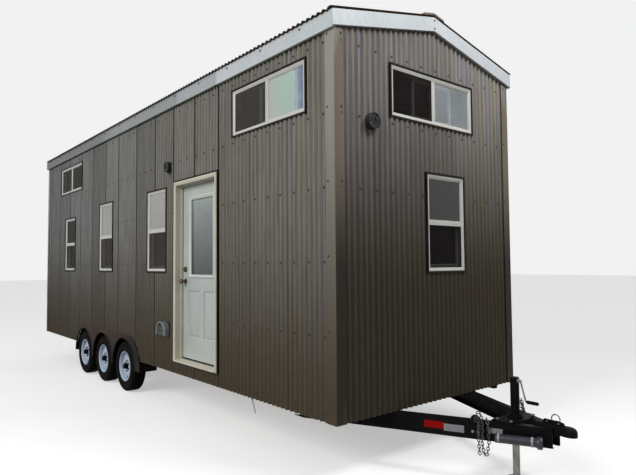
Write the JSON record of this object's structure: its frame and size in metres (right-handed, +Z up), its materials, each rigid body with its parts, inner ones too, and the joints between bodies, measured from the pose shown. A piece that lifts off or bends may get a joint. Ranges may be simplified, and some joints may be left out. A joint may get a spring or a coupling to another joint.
{
  "type": "tiny house on wheels",
  "caption": "Tiny house on a three-axle trailer: corrugated steel walls, low gable roof, half-lite side door, upper and lower windows, A-frame tongue with jack and coupler.",
  "frame": {"origin": "on the ground under the middle of the whole part, midway between the rear rake trim and the coupler's nose", "axes": "+X forward along the tongue, +Y to the street side, away from the door, +Z up"},
  "size_m": [9.93, 2.67, 4.154],
  "materials": {
    "trailer_steel": "black paint, semi-gloss",
    "jack_steel": "plated steel, dulled",
    "tyre": "black rubber, dusty",
    "rim": "white enamel",
    "framing": "sheathed timber framing",
    "siding": "weathered grey-brown corrugated steel, matt",
    "trim": "folded steel trim, matt",
    "roof_sheet": "corrugated steel",
    "flashing": "bright galvanised flashing",
    "window_frame": "white vinyl",
    "glass": "clear glass",
    "door_frame": "cream paint",
    "door": "white enamel",
    "hardware": "satin nickel",
    "galvanised": "galvanised sheet",
    "grey_plastic": "grey moulded plastic"
  },
  "bodies": {
    "root": {"axles": "trailer_steel", "corner_trims": "trim", "coupler": "trailer_steel", "cross_channels": "trailer_steel", "curb_siding": "siding", "curb_wall_front": "framing", "curb_wall_over_door": "framing", "curb_wall_rear": "framing", "curb_wall_under_door": "framing", "curb_window_frames": "window_frame", "document_tube": "trailer_steel", "door_frame": "door_frame", "eave_fascias": "flashing", "electrical_boxes": "grey_plastic", "end_window_frames": "window_frame", "floor_deck": "framing", "front_wall": "framing", "gable_siding": "siding", "hitch_brackets": "trailer_steel", "jack_tube": "trailer_steel", "jamb_hinges": "hardware", "leaf_springs": "trailer_steel", "main_rails": "trailer_steel", "pipe_stub": "grey_plastic", "rake_fascias": "flashing", "rear_wall": "framing", "ridge_cap": "roof_sheet", "roof_decks": "framing", "roof_sheets": "roof_sheet", "side_channels": "trailer_steel", "spring_hangers": "trailer_steel", "street_siding": "siding", "street_wall": "framing", "street_window_frames": "window_frame", "tongue_beams": "trailer_steel", "vent_hood": "galvanised", "wheel_fenders": "trailer_steel", "window_glass": "glass"},
    "door": {"door_slab": "door", "door_glass": "glass", "door_hardware": "hardware"},
    "jack_leg": {"jack_leg": "jack_steel"},
    "jack_crank": {"jack_crank": "jack_steel"},
    "wheel_curb_front": {"tyre_curb_front": "tyre", "rim_curb_front": "rim"},
    "wheel_curb_middle": {"tyre_curb_middle": "tyre", "rim_curb_middle": "rim"},
    "wheel_curb_rear": {"tyre_curb_rear": "tyre", "rim_curb_rear": "rim"},
    "wheel_street_front": {"tyre_street_front": "tyre", "rim_street_front": "rim"},
    "wheel_street_middle": {"tyre_street_middle": "tyre", "rim_street_middle": "rim"},
    "wheel_street_rear": {"tyre_street_rear": "tyre", "rim_street_rear": "rim"}
  },
  "joints": [
    {"name": "door_hinge", "type": "hinge", "parent": "root", "child": "door", "pos_m": [1.7645, -1.141, 1.683], "axis": [0, 0, -1], "range_deg": [0, 95]},
    {"name": "jack_slide", "type": "slide", "parent": "root", "child": "jack_leg", "axis": [0, 0, 1], "range_m": [-0.05, 0.25]},
    {"name": "crank_turn", "type": "hinge", "parent": "root", "child": "jack_crank", "pos_m": [4.5, 0, 0.795], "axis": [1, 0, 0], "continuous": true},
    {"name": "spin_curb_front", "type": "hinge", "parent": "root", "child": "wheel_curb_front", "pos_m": [-0.855, -1.1595, 0.345], "axis": [0, 1, 0], "continuous": true},
    {"name": "spin_curb_middle", "type": "hinge", "parent": "root", "child": "wheel_curb_middle", "pos_m": [-1.73, -1.1595, 0.345], "axis": [0, 1, 0], "continuous": true},
    {"name": "spin_curb_rear", "type": "hinge", "parent": "root", "child": "wheel_curb_rear", "pos_m": [-2.605, -1.1595, 0.345], "axis": [0, 1, 0], "continuous": true},
    {"name": "spin_street_front", "type": "hinge", "parent": "root", "child": "wheel_street_front", "pos_m": [-0.855, 1.1595, 0.345], "axis": [0, 1, 0], "continuous": true},
    {"name": "spin_street_middle", "type": "hinge", "parent": "root", "child": "wheel_street_middle", "pos_m": [-1.73, 1.1595, 0.345], "axis": [0, 1, 0], "continuous": true},
    {"name": "spin_street_rear", "type": "hinge", "parent": "root", "child": "wheel_street_rear", "pos_m": [-2.605, 1.1595, 0.345], "axis": [0, 1, 0], "continuous": true}
  ]
}
